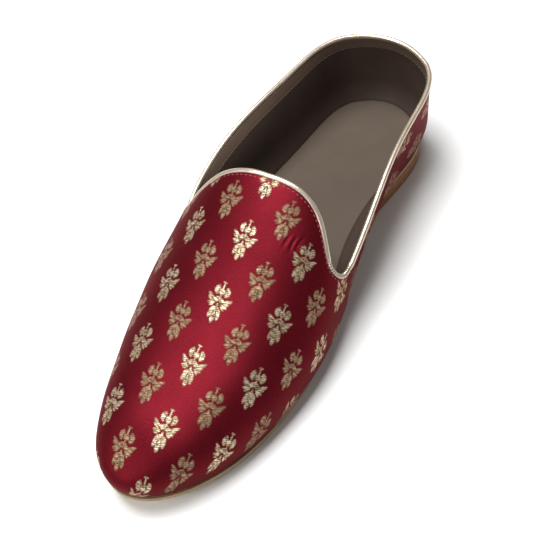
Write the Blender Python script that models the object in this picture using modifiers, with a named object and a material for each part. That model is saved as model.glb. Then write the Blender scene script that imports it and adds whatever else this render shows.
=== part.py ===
"""A right-foot khussa: outsole, stacked heel lift, one hollow whole-cut upper, insole and topline piping.

The shoe is worked out first in a maker's coordinates, in millimetres: `across` is positive to the
outer (lateral) side, `along` runs from the back of the heel to the toe, `up` is the height above the
floor. Stations round the shoe are angles: 0 at the back of the heel, 90 half way along the lateral
side, 180 at the toe tip, and back along the medial side. The placed shoe points its toe to -Y, its
medial side to +X, and stands on Z = 0 with the middle of its bounding box over the origin.
"""

import bmesh
import bpy
import numpy as np

MM = 0.001

# Driving sizes, in millimetres.
LENGTH = 280.0  # outsole, heel to toe
SOLE = 3.3  # outsole thickness
HEEL_LENGTH = 72.0  # heel lift, back to breast
HEEL_RISE = 9.0  # floor to the outsole's underside at the breast
HEEL_BACK_RISE = 1.0  # how much higher the underside lies at the back of the heel
TREAD_START, TREAD_END = 162.0, 205.0  # the flat of the forefoot, along the shoe
TOE_SPRING = 8.0  # floor to the outsole's underside at the toe tip
WALL = 2.0  # upper: outer cloth, leather and lining together
INSOLE = 2.0
PIPING = 2.8  # diameter
GAP = 0.3  # between pieces that touch
FEATHER = 1.2  # the upper's lower edge stands this far inside the sole's edge
BACK_OVERHANG, TOE_OVERHANG = 3.0, 0.6  # the upper past the sole's two ends
SEAT_CENTRE = 30.0  # along: the heel's sections turn round this point
TOE_BOX, TOE_ROUND = 32.0, 2.3  # length over which the ridge closes at the toe, and its exponent

# The last, a row for each section: half width of the sole, how far its centre line swings to the
# lateral side, how far the upper stands out past the sole's two edges, the height of that widest line
# over the seat, the height of the ridge over the floor, and the exponent that makes a section
# rounder (2) or squarer (3).
SECTION_COLUMNS = (
    "along", "half", "swing", "lateral_over", "medial_over", "widest", "ridge", "fullness"
)
SECTION_ROWS = (
    (10, 22.8, 0.9, 3.0, 3.0, 16.0, 92.0, 2.60),
    (25, 29.7, 1.2, 3.0, 3.2, 16.0, 92.0, 2.57),
    (45, 31.1, 2.1, 3.2, 4.2, 16.2, 92.0, 2.50),
    (70, 30.8, 4.2, 3.8, 8.0, 17.2, 91.5, 2.43),
    (95, 32.5, 5.6, 4.3, 11.0, 17.8, 88.0, 2.36),
    (120, 37.0, 5.5, 4.2, 10.6, 16.8, 81.0, 2.27),
    (145, 43.8, 2.8, 3.5, 7.3, 14.8, 71.0, 2.18),
    (170, 47.7, 0.0, 2.7, 4.6, 12.3, 59.5, 2.08),
    (195, 46.5, -2.6, 1.8, 3.0, 10.3, 50.0, 2.14),
    (220, 41.8, -4.7, 1.2, 1.8, 8.6, 43.0, 2.32),
    (245, 33.9, -5.8, 0.8, 1.1, 7.4, 37.5, 2.45),
    (262, 25.3, -5.7, 0.6, 0.8, 6.7, 34.2, 2.54),
    (273, 16.3, -5.4, 0.6, 0.6, 6.3, 32.2, 2.60),
)

# The topline, a row for each station: for each side, the station of the outline that it stands over,
# how far it has turned from the widest line (0) to the ridge (90), and how far it splays out.
TOPLINE_COLUMNS = (
    "station",
    "lateral_over", "lateral_turn", "lateral_splay",
    "medial_over", "medial_turn", "medial_splay",
)
TOPLINE_ROWS = (
    (0, 0, 23.0, 0.0, 0, 23.0, 0.0),
    (30, 30, 22.0, 4.0, 30, 21.5, 2.5),
    (60, 60, 19.5, 7.5, 60, 18.5, 4.0),
    (75, 74.5, 17.0, 7.5, 74.5, 15.5, 4.0),
    (84, 82.5, 14.6, 5.5, 82.0, 13.2, 3.0),
    (90, 88.2, 13.2, 3.2, 87.4, 12.4, 1.5),
    (94, 91.4, 15.5, 1.6, 90.4, 15.2, 0.6),
    (97, 93.2, 21.5, 0.7, 92.2, 21.5, 0.2),
    (100, 93.8, 29.5, 0.2, 93.0, 29.5, 0.0),
    (104, 93.2, 36.5, 0.0, 92.5, 36.5, 0.0),
    (110, 91.7, 44.0, 0.0, 90.7, 43.5, 0.0),
    (120, 90.0, 52.0, 0.0, 88.3, 52.5, 0.0),
    (132, 88.6, 61.0, 0.0, 87.0, 61.5, 0.0),
    (148, 87.7, 71.5, 0.0, 86.5, 71.5, 0.0),
    (164, 87.2, 81.0, 0.0, 86.6, 81.0, 0.0),
    (180, 86.9, 90.0, 0.0, 86.9, 90.0, 0.0),
)

STATIONS = 120  # columns round the upper
SIDE_ROWS = 3  # from the feather edge up to the widest line
TOP_ROWS = 11  # from the widest line to the topline
SOLE_STATIONS = 64  # rungs along each flat piece


def table(columns, rows):
    return dict(zip(columns, np.array(rows, float).T))


def spline(x, xs, ys):
    """Natural cubic spline through the points (xs, ys), read at x, held level past both ends."""
    step = np.diff(xs)
    slope = np.diff(ys) / step
    system = np.eye(len(xs))
    right = np.zeros(len(xs))
    for i in range(1, len(xs) - 1):
        system[i, i - 1 : i + 2] = step[i - 1], 2 * (step[i - 1] + step[i]), step[i]
        right[i] = 6 * (slope[i] - slope[i - 1])
    bend = np.linalg.solve(system, right)
    x = np.clip(x, xs[0], xs[-1])
    i = np.clip(np.searchsorted(xs, x) - 1, 0, len(xs) - 2)
    t = x - xs[i]
    first = slope[i] - step[i] * (2 * bend[i] + bend[i + 1]) / 6
    return ys[i] + t * first + t**2 * bend[i] / 2 + t**3 * (bend[i + 1] - bend[i]) / (6 * step[i])


SECTION = table(SECTION_COLUMNS, SECTION_ROWS)
TOPLINE = table(TOPLINE_COLUMNS, TOPLINE_ROWS)


def section(column, along):
    return spline(along, SECTION["along"], SECTION[column])


def either_side(lateral, outer, inner):
    return np.where(lateral, outer, inner)


def fold(station):
    """Stations 0 to 360 as angles from the heel, 0 to 180, and which of them are lateral."""
    return 180 - np.abs(station - 180), station <= 180


def underside(along):
    """Height of the outsole's underside: heel seat, an S down the waist, the flat tread, toe spring."""
    waist = np.clip((along - HEEL_LENGTH) / (TREAD_START - HEEL_LENGTH), 0, 1)
    seat = np.clip((HEEL_LENGTH - along) / HEEL_LENGTH, 0, 1)
    toe = np.clip((along - TREAD_END) / (LENGTH - TREAD_END), 0, 1)
    arch = HEEL_RISE * (1 + np.cos(np.pi * waist)) / 2
    return arch + HEEL_BACK_RISE * seat**2 + TOE_SPRING * toe**2


def seat(along):
    """Height on which the upper and the insole rest, one gap above the outsole."""
    return underside(along) + SOLE + GAP


def sole_half(angle):
    """Half width of the sole: the section table carried on an ellipse, so both ends come out round."""
    middle = LENGTH / 2
    along = SECTION["along"]
    ellipse = np.sqrt(along * (LENGTH - along)) / middle
    reach = middle * (1 - np.cos(np.radians(angle)))
    return np.sin(np.radians(angle)) * spline(reach, along, SECTION["half"] / ellipse)


def sole_outline(station):
    """The sole's edge: an array of (across, along)."""
    angle, lateral = fold(station)
    along = LENGTH / 2 * (1 - np.cos(np.radians(angle)))
    across = section("swing", along) + sole_half(angle) * either_side(lateral, 1, -1)
    return np.stack([across, along], -1)


def widest_along(angle):
    reach = LENGTH + BACK_OVERHANG + TOE_OVERHANG
    return -BACK_OVERHANG + reach * (1 - np.cos(np.radians(angle))) / 2


def widest_angle(along):
    """The station angle whose widest point lies this far along."""
    reach = LENGTH + BACK_OVERHANG + TOE_OVERHANG
    return np.degrees(np.arccos(np.clip(1 - 2 * (along + BACK_OVERHANG) / reach, -1, 1)))


def widest_line(angle):
    """Centre and half width at the widest line: the sole's and the overhang, which fades at both ends."""
    along = widest_along(angle)
    fade = np.sqrt(1 - np.cos(np.radians(angle)) ** 8)
    outer = section("lateral_over", along) * fade
    inner = section("medial_over", along) * fade
    return section("swing", along) + (outer - inner) / 2, sole_half(angle) + (outer + inner) / 2


def widest_outline(angle, lateral):
    centre, half = widest_line(angle)
    return np.stack([centre + half * either_side(lateral, 1, -1), widest_along(angle)], -1)


def widest_height(along):
    return seat(along) + section("widest", along)


def last_height(along, share):
    """Height of the last where `share` of the half width is covered: a superellipse up to the ridge."""
    along = np.clip(along, 0, LENGTH + TOE_OVERHANG)
    low = widest_height(along)
    power = section("fullness", along)
    past = np.clip((along - LENGTH - TOE_OVERHANG + TOE_BOX) / TOE_BOX, 0, 1)
    close = (1 - past**TOE_ROUND) ** (1 / TOE_ROUND)
    rise = np.clip(1 - np.clip(share, 0, 1) ** power, 0, 1) ** (1 / power)
    return low + (section("ridge", along) - low) * close * rise


def topline(station):
    """The topline for stations round the shoe.

    Returns its place in plan, the share of the half width it stands at, its turn and splay, and the
    exponent of its section.
    """
    angle, lateral = fold(station)
    read = {name: spline(angle, TOPLINE["station"], TOPLINE[name]) for name in TOPLINE_COLUMNS[1:]}
    over = either_side(lateral, read["lateral_over"], read["medial_over"])
    turn = either_side(lateral, read["lateral_turn"], read["medial_turn"])
    splay = either_side(lateral, read["lateral_splay"], -read["medial_splay"])
    foot = widest_outline(over, lateral)
    spine = np.maximum(foot[:, 1], SEAT_CENTRE)
    centre = np.stack([widest_line(widest_angle(spine))[0], spine], -1)
    power = section("fullness", foot[:, 1])
    share = np.cos(np.radians(turn)) ** (2 / power)
    return centre + (foot - centre) * share[:, None], share, turn, splay, power


def upper_rows():
    """Outer face of the upper, row by row from the feather edge to the topline, stations as columns.

    Below the widest line the wall tucks in to the feather edge along a parabola. Above it each column
    runs straight in plan to its topline point and takes the last's height there, in even turns.
    """
    station = np.arange(STATIONS) * 360 / STATIONS
    angle, lateral = fold(station)
    feather = inset(sole_outline(station), FEATHER)
    widest = widest_outline(angle, lateral)
    low, high = seat(feather[:, 1]), widest_height(widest[:, 1])
    rows = []
    for step in np.linspace(0, 1, SIDE_ROWS + 1)[:-1]:
        plan = feather + (widest - feather) * (1 - (1 - step) ** 2)
        rows.append(np.column_stack([plan, low + (high - low) * step]))
    top, share, turn, splay, power = topline(station)
    in_heel = widest[:, 1] < SEAT_CENTRE
    for step in np.linspace(0, 1, TOP_ROWS + 1):
        reached = 1 - np.cos(np.radians(turn * step)) ** (2 / power)
        part = reached / (1 - share)
        plan = widest + (top - widest) * part[:, None]
        centre, half = widest_line(widest_angle(plan[:, 1]))
        covered = np.abs(plan[:, 0] - centre) / np.maximum(half, 1e-6)
        covered = np.where(in_heel, 1 - reached, covered)
        height = last_height(plan[:, 1], covered)
        plan[:, 0] += splay * part
        rows.append(np.column_stack([plan, height]))
    return np.array(rows)


def unit(vectors):
    return vectors / np.linalg.norm(vectors, axis=1)[:, None]


def inset(ring, depth):
    """A closed plan ring moved inwards by `depth`, along its own normals."""
    tangent = unit(np.roll(ring, -1, 0) - np.roll(ring, 1, 0))
    return ring + depth * np.stack([-tangent[:, 1], tangent[:, 0]], -1)


def placed(points):
    """Maker's coordinates in millimetres to the part's frame in metres."""
    points = np.asarray(points, float)
    middle = (BACK_OVERHANG + LENGTH + TOE_OVERHANG) / 2 - BACK_OVERHANG
    return np.stack(
        [(MIDLINE - points[..., 0]) * MM, (middle - points[..., 1]) * MM, points[..., 2] * MM], -1
    )


def piping_path():
    """Centre of the piping: one gap clear of the topline's rim, over the middle of the wall."""
    rows = upper_rows()
    rim = rows[-1]
    run = unit(np.roll(rim, -1, 0) - np.roll(rim, 1, 0))
    inwards = unit(np.cross(rim - rows[-2], run))
    rise = np.cross(run, inwards)
    return rim + rise * (GAP + PIPING / 2) + inwards * WALL / 2


def midline():
    """Across: half way between the shoe's outermost points, on the upper or on the piping."""
    upper = upper_rows()[..., 0]
    piping = piping_path()[:, 0]
    outer = max(upper.max(), piping.max() + PIPING / 2)
    inner = min(upper.min(), piping.min() - PIPING / 2)
    return (outer + inner) / 2


MIDLINE = midline()


def material(name, colour, roughness, metallic=0.0):
    made = bpy.data.materials.new(name)
    made.use_nodes = True
    shader = made.node_tree.nodes["Principled BSDF"]
    shader.inputs["Base Color"].default_value = (*colour, 1)
    shader.inputs["Roughness"].default_value = roughness
    shader.inputs["Metallic"].default_value = metallic
    return made


def add_object(name, data, finish, collection):
    made = bpy.data.objects.new(name, data)
    made.data.materials.append(finish)
    collection.objects.link(made)
    return made


def mesh_from(name, points, faces):
    """A mesh with its end points merged where a row of them falls together."""
    mesh = bpy.data.meshes.new(name)
    mesh.from_pydata(points.reshape(-1, 3).tolist(), [], faces)
    work = bmesh.new()
    work.from_mesh(mesh)
    bmesh.ops.remove_doubles(work, verts=work.verts, dist=1e-6)
    work.to_mesh(mesh)
    work.free()
    return mesh


def two_sides(ring):
    """A closed ring's lateral and medial sides, both from the heel to the toe."""
    count = len(ring) // 2
    return ring[: count + 1], ring[np.arange(len(ring), count - 1, -1) % len(ring)]


def slab(name, lateral, medial, low, high, finish, collection, bevel):
    """A flat piece between two heights that change only along the shoe.

    Its two sides are joined by rungs, so each strip of the piece is a plane.
    """
    count = len(lateral) - 1
    corners = [(lateral, low), (medial, low), (medial, high), (lateral, high)]
    rungs = np.stack([np.column_stack([side, rise(side[:, 1])]) for side, rise in corners], 1)
    faces = []
    for i in range(count):
        for a in range(4):
            b = (a + 1) % 4
            faces.append((4 * i + a, 4 * i + b, 4 * i + 4 + b, 4 * i + 4 + a))
    faces.append((3, 2, 1, 0))
    faces.append(tuple(4 * count + a for a in range(4)))
    mesh = mesh_from(name, placed(rungs), faces)
    closed_outwards(mesh)
    made = add_object(name, mesh, finish, collection)
    rounded = made.modifiers.new("rounded edge", "BEVEL")
    rounded.width = bevel * MM
    rounded.segments = 1
    rounded.limit_method = "ANGLE"
    rounded.angle_limit = np.radians(60)
    return made


def closed_outwards(mesh):
    work = bmesh.new()
    work.from_mesh(mesh)
    bmesh.ops.dissolve_degenerate(work, dist=1e-6, edges=work.edges)
    bmesh.ops.recalc_face_normals(work, faces=work.faces)
    work.to_mesh(mesh)
    work.free()


def build_outsole(collection):
    lateral, medial = two_sides(sole_outline(np.arange(2 * SOLE_STATIONS) * 180 / SOLE_STATIONS))
    finish = material("sole leather", (0.62, 0.50, 0.34), 0.55)
    top = lambda y: underside(y) + SOLE
    slab("outsole", lateral, medial, underside, top, finish, collection, 0.5)


def build_heel_block(collection):
    """The heel lift: the sole's outline up to a straight breast, flat below, under the sole above."""
    breast = np.degrees(np.arccos(1 - 2 * HEEL_LENGTH / LENGTH))
    station = np.linspace(0, breast, SOLE_STATIONS // 3)
    lateral, medial = sole_outline(station), sole_outline(360 - station)
    finish = material("stacked heel leather", (0.48, 0.20, 0.08), 0.5)
    top = lambda y: underside(y) - GAP
    slab("heel_block", lateral, medial, np.zeros_like, top, finish, collection, 0.6)


def build_insole(collection):
    ring = sole_outline(np.arange(2 * SOLE_STATIONS) * 180 / SOLE_STATIONS)
    lateral, medial = two_sides(inset(ring, FEATHER + WALL + 2 * GAP))
    finish = material("insole lining", (0.15, 0.11, 0.08), 0.8)
    slab("insole", lateral, medial, seat, lambda y: seat(y) + INSOLE, finish, collection, 0.4)


def build_upper(collection):
    rows = upper_rows()
    count, around = rows.shape[:2]
    faces = []
    for row in range(count - 1):
        for column in range(around):
            after = (column + 1) % around
            faces.append(
                (
                    row * around + column,
                    row * around + after,
                    (row + 1) * around + after,
                    (row + 1) * around + column,
                )
            )
    mesh = mesh_from("upper", placed(rows), faces)
    mesh.shade_smooth()
    finish = material("brocade", (0.26, 0.011, 0.026), 0.6)
    made = add_object("upper", mesh, finish, collection)
    wall = made.modifiers.new("wall", "SOLIDIFY")
    wall.thickness = WALL * MM
    wall.offset = -1
    wall.use_even_offset = False


def build_piping(collection):
    """A closed cord of piping along the topline."""
    centre = placed(piping_path())
    curve = bpy.data.curves.new("topline_piping", "CURVE")
    curve.dimensions = "3D"
    curve.bevel_depth = PIPING / 2 * MM
    curve.bevel_resolution = 2
    path = curve.splines.new("POLY")
    path.points.add(len(centre) - 1)
    path.points.foreach_set("co", np.column_stack([centre, np.ones(len(centre))]).ravel())
    path.use_cyclic_u = True
    finish = material("piping leather", (0.62, 0.54, 0.45), 0.35, 0.3)
    add_object("topline_piping", curve, finish, collection)


def main():
    for old in list(bpy.data.objects):
        bpy.data.objects.remove(old, do_unlink=True)
    collection = bpy.data.collections.new("khussa")
    bpy.context.scene.collection.children.link(collection)
    build_outsole(collection)
    build_heel_block(collection)
    build_upper(collection)
    build_insole(collection)
    build_piping(collection)


main()
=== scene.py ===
"""Looks of a right-foot khussa: brocade upper, leather lining, piping, stitching, sole, heel and insole.

The shoe is worked out in a maker's coordinates, in millimetres: `across` is positive to the outer
(lateral) side, `along` runs from the back of the heel to the toe, `up` is the height above the floor.
Stations round the shoe are angles: 0 at the back of the heel, 90 half way along the lateral side, 180
at the toe tip, and back along the medial side. Every piece is a grid of points: its columns run round
the shoe with the stations, its rows run across that, and a column direction crossed with a row
direction points out of the piece.
"""

import bmesh
import bpy
import numpy as np
from bpy.props import FloatProperty, FloatVectorProperty, PointerProperty
from mathutils import Matrix, Vector


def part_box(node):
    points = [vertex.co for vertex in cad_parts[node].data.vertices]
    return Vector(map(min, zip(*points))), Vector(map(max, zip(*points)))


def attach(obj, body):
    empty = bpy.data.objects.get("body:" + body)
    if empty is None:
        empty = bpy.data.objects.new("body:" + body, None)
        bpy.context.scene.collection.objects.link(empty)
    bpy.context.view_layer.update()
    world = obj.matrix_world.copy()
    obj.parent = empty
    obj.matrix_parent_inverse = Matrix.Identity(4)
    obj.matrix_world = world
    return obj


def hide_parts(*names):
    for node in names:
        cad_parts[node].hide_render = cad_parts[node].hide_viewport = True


bl_info = {
    "name": "Khussa looks",
    "version": (1, 0, 0),
    "blender": (4, 5, 0),
    "location": "View3D > Sidebar > Khussa",
    "description": "Brocade, leather and stitching of a slip-on khussa, and a plain studio round it",
    "category": "Object",
}

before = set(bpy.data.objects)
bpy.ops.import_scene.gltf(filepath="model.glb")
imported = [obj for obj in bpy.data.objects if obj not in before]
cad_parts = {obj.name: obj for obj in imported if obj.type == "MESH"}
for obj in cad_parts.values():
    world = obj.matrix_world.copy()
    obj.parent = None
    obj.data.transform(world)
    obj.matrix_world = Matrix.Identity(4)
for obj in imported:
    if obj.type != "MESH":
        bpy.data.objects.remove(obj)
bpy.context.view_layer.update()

MM = 0.001

# Sizes of the construction, in millimetres.
LENGTH = 280.0  # outsole, heel to toe
SOLE = 3.3  # thickness of the outsole
HEEL_LENGTH = 72.0  # heel lift, from its back to its breast
HEEL_RISE = 9.0  # height of the outsole's underside at the breast
HEEL_BACK_RISE = 1.0  # how much higher it is at the back of the heel
TREAD_START, TREAD_END = 162.0, 205.0  # the flat of the forefoot, which stands on the floor
TOE_SPRING = 8.0  # height of the outsole's underside at the toe tip
WALL = 2.0  # brocade, backing and lining together
INSOLE = 2.0  # thickness of the insole
PIPING = 2.8  # diameter of the piping
GAP = 0.3  # between parts that are sewn or glued together
FEATHER = 1.2  # how far the upper's lower edge lies inside the sole's
BACK_OVERHANG, TOE_OVERHANG = 3.0, 0.6  # of the upper, past the sole's two ends
UPPER_LENGTH = LENGTH + BACK_OVERHANG + TOE_OVERHANG
SEAT_CENTRE = 30.0  # behind this place columns run towards it, and in front of it straight across
TOE_BOX, TOE_ROUND = 32.0, 2.3  # length of the ridge's fall at the toe, and its exponent
SOLE_ROUNDING = (0.9, 0.5)  # radii of the outsole's lower and upper edge
HEEL_ROUNDING = (0.6, 0.25)  # the same, of the heel lift
INSOLE_ROUNDING = (0.3, 0.6)  # the same, of the insole
LINING_CLEARANCE = 0.06  # between the hidden faces of the cloth and the lining

# The last, a row for each section: half width of the sole, how far its centre line swings to the
# lateral side, how far the upper stands out past the sole's two edges, the height of that widest line
# over the seat, the height of the ridge over the floor, and the exponent that makes a section
# rounder (2) or squarer (3).
SECTION_COLUMNS = (
    "along", "half", "swing", "lateral_over", "medial_over", "widest", "ridge", "fullness"
)
SECTION_ROWS = (
    (10, 22.8, 0.9, 3.0, 3.0, 16.0, 92.0, 2.60),
    (25, 29.7, 1.2, 3.0, 3.2, 16.0, 92.0, 2.57),
    (45, 31.1, 2.1, 3.2, 4.2, 16.2, 92.0, 2.50),
    (70, 30.8, 4.2, 3.8, 8.0, 17.2, 91.5, 2.43),
    (95, 32.5, 5.6, 4.3, 11.0, 17.8, 88.0, 2.36),
    (120, 37.0, 5.5, 4.2, 10.6, 16.8, 81.0, 2.27),
    (145, 43.8, 2.8, 3.5, 7.3, 14.8, 71.0, 2.18),
    (170, 47.7, 0.0, 2.7, 4.6, 12.3, 59.5, 2.08),
    (195, 46.5, -2.6, 1.8, 3.0, 10.3, 50.0, 2.14),
    (220, 41.8, -4.7, 1.2, 1.8, 8.6, 43.0, 2.32),
    (245, 33.9, -5.8, 0.8, 1.1, 7.4, 37.5, 2.45),
    (262, 25.3, -5.7, 0.6, 0.8, 6.7, 34.2, 2.54),
    (273, 16.3, -5.4, 0.6, 0.6, 6.3, 32.2, 2.60),
)

# The topline, a row for each station: for each side, the station of the outline that it stands over,
# how far it has turned from the widest line (0) to the ridge (90), and how far it splays out.
TOPLINE_COLUMNS = (
    "station",
    "lateral_over", "lateral_turn", "lateral_splay",
    "medial_over", "medial_turn", "medial_splay",
)
TOPLINE_ROWS = (
    (0, 0, 23.0, 0.0, 0, 23.0, 0.0),
    (30, 30, 22.0, 4.0, 30, 21.5, 2.5),
    (60, 60, 19.5, 7.5, 60, 18.5, 4.0),
    (75, 74.5, 17.0, 7.5, 74.5, 15.5, 4.0),
    (84, 82.5, 14.6, 5.5, 82.0, 13.2, 3.0),
    (90, 88.2, 13.2, 3.2, 87.4, 12.4, 1.5),
    (94, 91.4, 15.5, 1.6, 90.4, 15.2, 0.6),
    (97, 93.2, 21.5, 0.7, 92.2, 21.5, 0.2),
    (100, 93.8, 29.5, 0.2, 93.0, 29.5, 0.0),
    (104, 93.2, 36.5, 0.0, 92.5, 36.5, 0.0),
    (110, 91.7, 44.0, 0.0, 90.7, 43.5, 0.0),
    (120, 90.0, 52.0, 0.0, 88.3, 52.5, 0.0),
    (132, 88.6, 61.0, 0.0, 87.0, 61.5, 0.0),
    (148, 87.7, 71.5, 0.0, 86.5, 71.5, 0.0),
    (164, 87.2, 81.0, 0.0, 86.6, 81.0, 0.0),
    (180, 86.9, 90.0, 0.0, 86.9, 90.0, 0.0),
)

# How finely the surfaces are divided.
COLUMNS = 480  # round the upper
NOTCH_STATION, NOTCH_SPREAD, NOTCH_CROWDING = 94.0, 9.0, 2.0  # columns crowd together at the notches
SIDE_ROWS, TOP_ROWS = 12, 124  # below and above the widest line
HIDDEN_SIDE_ROWS, HIDDEN_TOP_ROWS = 3, 12  # the same on a face that another piece covers
LINING_SIDE_ROWS, LINING_TOP_ROWS = 8, 44
RIM_SIDE_ROWS, RIM_TOP_ROWS = 2, 24  # where only the rim is wanted, to lay the piping on it
ROW_CROWDING = 0.5  # how much closer together the rows lie at the topline than on average
PIPING_COLUMNS, PIPING_ROWS = 1600, 16
SOLE_COLUMNS = 400  # round the outsole and the insole
SLAB_ROWS = 14  # from the middle of a flat piece to its rounded edge
EDGE_ROWS = 6  # round that edge
LIP_ROWS = 3  # over the edge of a wall
STITCH_POINTS, STITCH_SIDES = 9, 8  # along a stitch and round it
STATION_STEPS = 2000  # steps in which the crowding of the columns is summed
ARC_STEPS = 48  # steps in a length measured over a section
FINE_STEPS = 1200  # steps in a length measured along the shoe
WELD = 1e-7  # metres: points closer together than this are made one

# The centre line that the rings of a flat piece shrink to: where it starts and ends.
SOLE_SPINE = (34.0, 240.0)
HEEL_SPINE = (36.0, 36.0)

# How the cloth was laid on the last: places along the shoe, where nothing else is said.
HELD_ALONG = 112.0  # behind this the quarters hang from the ridge's distance here
HELD_BLEND = 9.0  # how softly that sets in, in millimetres
VAMP_BLEND = (85.0, 120.0)  # here lengths up the columns give way to lengths over the sections
HEEL_BLEND = (40.0, 70.0)  # here lengths round the heel give way to lengths over the ridge
HEEL_JOIN = 60.0  # where these two lengths agree
TOE_BLEND = (90.0, 120.0)  # stations over which the wall below the widest line comes to face the toe
TOE_PULL, TOE_PULL_START = 0.00077, 165.0  # per millimetre, and where along it starts
MEDIAL_PULL, MEDIAL_PULL_REACH = 0.275, (10.0, 62.0)  # a shear, and where across it lies

# Relief of the cloth, in millimetres.
GATHER_PLACE = (88.0, 128.0)  # distance from the middle of the shoe over which the gathers set in
GATHER_REACH = 5.5  # how far up from the feather edge they fade
SEAM_DEPTH, SEAM_HALF_WIDTH = 0.30, 0.55  # groove of the back seam
DIP_DEPTH, DIP_HALF_WIDTH = 0.16, 0.8  # what the topline stitching pulls in

# Sewing and edges, in millimetres.
STITCH_DEPTH = 0.75  # topline stitching, below the rim
STITCH_SINK = 0.1  # how far a stitch's ends go into the leather or the cloth
STITCH_LIFT = 0.35  # how far its middle stands up, as a share of the thread's thickness
LINING_STITCH_DEPTH = 5.5  # lining stitching, below the rim
LINING_STITCH_PITCH, LINING_STITCH_LENGTH = 2.9, 2.1
LINING_SLACK = 0.10  # how far the lining stands off its wall in soft waves
LINING_BAND = (6.0, 0.8)  # how far the lining's paler band reaches below the rim, and its softness
PLEAT_PITCH, PLEAT_DEPTH = 1.4, 0.45  # pleats of the piping at the notches
PLEAT_SPREAD = 41  # columns of the piping over which its bend is averaged to find the notches
PLEAT_BEND = (0.035, 0.075)  # bend, per millimetre, at which pleats set in and at which they are full
PLEAT_BAND = (0.5, 0.8)  # how smooth the piping is where the painted shade of its pleats ends, and the softness
WRINKLE = 0.03  # of the piping between the notches

# The weave, in millimetres on the cloth.
SPRIG_ORIGIN = (2.6, 166.2)  # top of one sprig's bud: medial and along
PICK = 0.40  # the sprigs' edges step by this, as threads do
RIB_ACROSS, RIB_ALONG = 0.86, 0.51  # the direction in which the rib repeats
CROSS_RIB = 0.52  # pitch of the finer rib that crosses it
FLOAT_PITCH, FLOAT_SLANT = 0.86, 0.30  # threads of a float, and how they slant
SATIN_SHEEN = 0.68  # metallic share of the ground

# Marks on the leathers.
WAIST_STAIN = (6.0, 18.0, 10.0, 19.5, 1.5)  # under the waist: ends and half width in the part's frame
STAIN_COLOUR = (0.42, 0.27, 0.13)
SCRATCH_COLOUR = (0.90, 0.80, 0.60)
FOLD_COLOUR = (0.93, 0.84, 0.66)
DARK_SPECKS, PALE_SPECKS = (0.12, 0.055, 0.025), (0.72, 0.60, 0.50)

# Camera, in metres: its place, the point it looks at, and its lens in millimetres.
CAMERA_PLACE = (0.185, -0.2274, 0.412)
CAMERA_AIM = (0.005, -0.010, 0.030)
CAMERA_LENS = 62.8

# Lights and floor, in metres. Both softboxes face the shoe.
KEY_PLACE, KEY_SIDE = (-0.24, 0.04, 1.16), 0.60
FRONT_PLACE, FRONT_SIDE = (-0.30, -0.80, 0.62), 0.40
LIGHT_AIM = (0, 0, 0.03)
ROOM_COLOUR = (1, 0.99, 0.975, 1)
FLOOR_HALF = 3.0

# Creases of the cloth, a row for each: where its middle lies across and along the cloth, the way it
# runs in degrees, how far its ends bow to the medial side, half its length and width, and its height
# (a ridge) or depth (a trough, negative).
CREASE_COLUMNS = ("across", "along", "turn", "bow", "half_length", "half_width", "height")
CREASE_ROWS = (
    (-19.4, 156.2, 79.0, 0.2, 2.0, 0.80, -0.16),
    (-20.8, 155.5, 76.0, 0.3, 2.6, 0.80, 0.18),
    (-22.2, 154.8, 75.0, 0.4, 3.0, 0.85, -0.26),
    (-24.0, 154.4, 78.0, 0.5, 3.4, 0.90, 0.26),
    (-25.6, 153.8, 84.0, 0.6, 3.6, 0.85, -0.36),
    (-27.0, 153.0, 80.0, 0.6, 3.6, 0.85, 0.28),
    (-28.4, 151.8, 76.0, 0.7, 4.0, 0.90, -0.36),
)

# The sprig, a row for each group of thread floats, which lies like a leaf: where its root is, across
# and along the cloth from the top of the bud, where its tip is, and half its width.
SPRIG_ROWS = (
    (0.0, -6.6, 0.0, -12.0, 0.62),  # stem and its cap
    (-1.35, -11.2, 1.35, -11.2, 0.48),
    (-2.4, -4.4, -2.4, -9.5, 1.35),  # flower: left, middle and right lobes
    (-3.0, -4.9, -3.1, -8.8, 1.20),
    (-1.8, -6.6, 1.9, -6.6, 1.50),
    (0.0, -4.8, 0.0, -8.3, 1.40),
    (2.5, -4.4, 2.6, -9.7, 1.35),
    (3.2, -5.0, 3.3, -9.0, 1.20),
    (0.0, -5.6, 0.0, -1.6, 0.62),  # neck
    (0.2, -4.3, -3.8, -1.6, 0.62),  # shoulders
    (-0.2, -4.3, 3.9, -1.6, 0.62),
    (0.2, -2.1, -4.0, -2.3, 1.00),
    (-0.2, -2.1, 4.1, -2.3, 1.00),
    (-1.4, -0.9, -6.6, -4.5, 1.00),  # left wing
    (-1.6, -1.1, -6.0, -2.5, 0.95),
    (-1.1, -1.0, -5.5, 0.4, 0.95),
    (-1.5, -0.7, -4.2, 1.7, 0.80),
    (1.4, -0.9, 6.8, -4.6, 1.00),  # right wing
    (1.7, -1.1, 5.9, -2.3, 0.95),
    (1.1, -1.0, 5.4, 0.0, 0.90),
    (1.5, -0.7, 4.1, 1.6, 0.85),
    (0.0, -1.2, 0.0, 3.0, 0.75),  # bud
    (0.0, 0.5, 0.0, 6.3, 3.05),
    (-2.2, 3.0, -2.4, 7.2, 0.95),
    (2.3, 3.0, 2.3, 7.1, 0.90),
    (0.0, 4.6, -0.1, 9.2, 1.15),
)
# The sunken lines between them, in the same way, which are also painted dark as shade.
OUTLINE_ROWS = (
    (-1.7, -8.4, -1.6, -5.0, 0.24),  # between the flower's lobes
    (1.8, -8.4, 1.8, -5.0, 0.24),
    (-4.3, -2.7, -1.0, -0.7, 0.24),  # between the shoulders and the wings
    (4.4, -2.8, 1.0, -0.7, 0.24),
    (-0.9, -1.2, 0.9, -1.2, 0.32),
    (-1.1, 5.3, -0.1, 1.9, 0.24),  # the arch in the bud
    (1.2, 5.3, 0.2, 1.9, 0.24),
    (-1.5, 5.5, 1.7, 5.6, 0.24),
)


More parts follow.
